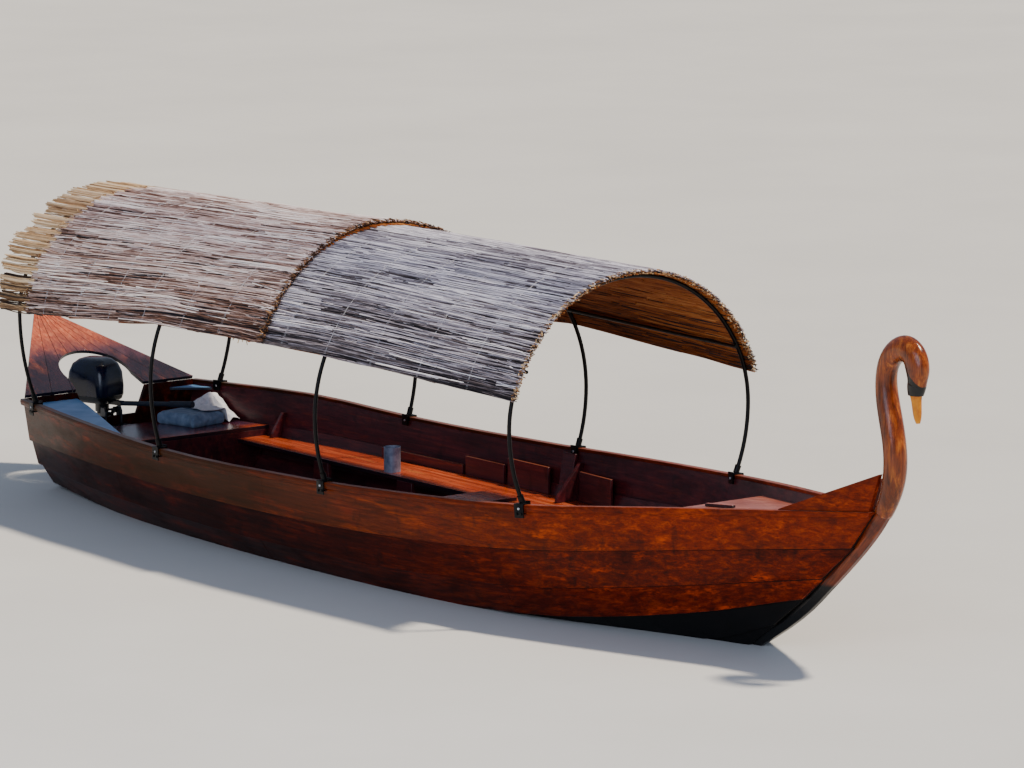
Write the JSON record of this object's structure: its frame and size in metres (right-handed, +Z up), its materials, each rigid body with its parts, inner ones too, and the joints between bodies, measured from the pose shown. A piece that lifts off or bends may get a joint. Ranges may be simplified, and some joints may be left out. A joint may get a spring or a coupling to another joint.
{
  "type": "rowing boat",
  "caption": "Lapstrake wooden lake boat with a swan figurehead, a reed canopy on bent hoops and a small tilting, steering outboard motor.",
  "frame": {"origin": "on the water plane, on the centreline, 1.8 m aft of the canopy's fore edge", "axes": "+X towards the bow, +Y to port, +Z up"},
  "size_m": [8.876, 1.994, 2.3283],
  "materials": {
    "varnished_plank": "gloss",
    "bottom_paint": "matt",
    "deck_wood": "satin",
    "inner_wood": "satin",
    "rail_wood": "matt",
    "swan_wood": "gloss",
    "swan_black": "gloss",
    "swan_amber": "gloss",
    "reed": "matt",
    "black_tube": "satin",
    "engine_case": "gloss",
    "cowl_plastic": "gloss",
    "engine_metal": "satin",
    "propeller_metal": "satin",
    "grip_plastic": "matt",
    "cushion_cloth": "matt",
    "throw_cloth": "matt",
    "can_metal": "satin"
  },
  "bodies": {
    "hull": {"garboards": "bottom_paint", "bottom_strakes": "bottom_paint", "middle_strakes": "varnished_plank", "upper_strakes": "varnished_plank", "sheer_strakes": "varnished_plank", "keel_plank": "bottom_paint", "stem_post": "varnished_plank", "transom": "varnished_plank", "gunwales": "rail_wood", "breast_boards": "varnished_plank", "swan_neck": "swan_wood", "beak_base": "swan_black", "beak": "swan_amber", "tail_fan": "deck_wood", "floor_timbers": "inner_wood", "floorboards": "inner_wood", "benches": "deck_wood", "bench_supports": "inner_wood", "backboards": "inner_wood", "side_ribs": "inner_wood", "thwart": "deck_wood", "helm_seat": "deck_wood", "helm_panels": "inner_wood", "quarter_decks": "deck_wood", "foredeck": "deck_wood", "hoop_1": "black_tube", "hoop_2": "black_tube", "hoop_3": "black_tube", "hoop_4": "black_tube", "hoop_clamps": "black_tube", "purlins": "black_tube", "reed_mat_aft": "reed", "reed_mat_fore": "reed", "clamp_bracket": "engine_metal", "helm_cushion": "cushion_cloth", "throw": "throw_cloth", "bailing_can": "can_metal"},
    "outboard_bracket": {"swivel_bracket": "engine_metal"},
    "outboard_engine": {"engine_leg": "engine_case", "cowl_lower": "engine_case", "cowl_upper": "cowl_plastic"},
    "tiller_arm": {"tiller": "grip_plastic"},
    "propeller_hub": {"propeller": "propeller_metal"}
  },
  "joints": [
    {"name": "motor_tilt", "type": "hinge", "parent": "hull", "child": "outboard_bracket", "pos_m": [-3.825, 0, 0.462], "axis": [0, 1, 0], "range_deg": [0, 65]},
    {"name": "steering", "type": "hinge", "parent": "outboard_bracket", "child": "outboard_engine", "pos_m": [-3.93, 0, 0.3], "axis": [0, 0, 1], "range_deg": [-50, 22]},
    {"name": "tiller_fold", "type": "hinge", "parent": "outboard_engine", "child": "tiller_arm", "pos_m": [-3.77308, 0.05099, 0.503], "axis": [0.309, -0.9511, 0], "range_deg": [0, 84.5]},
    {"name": "propeller_spin", "type": "hinge", "parent": "outboard_engine", "child": "propeller_hub", "pos_m": [-4.07266, -0.04635, -0.235], "axis": [0.9511, 0.309, 0], "continuous": true}
  ],
  "couplings": [
    {"joint": "tiller_fold", "follows": "motor_tilt", "ratio": 1.3}
  ]
}
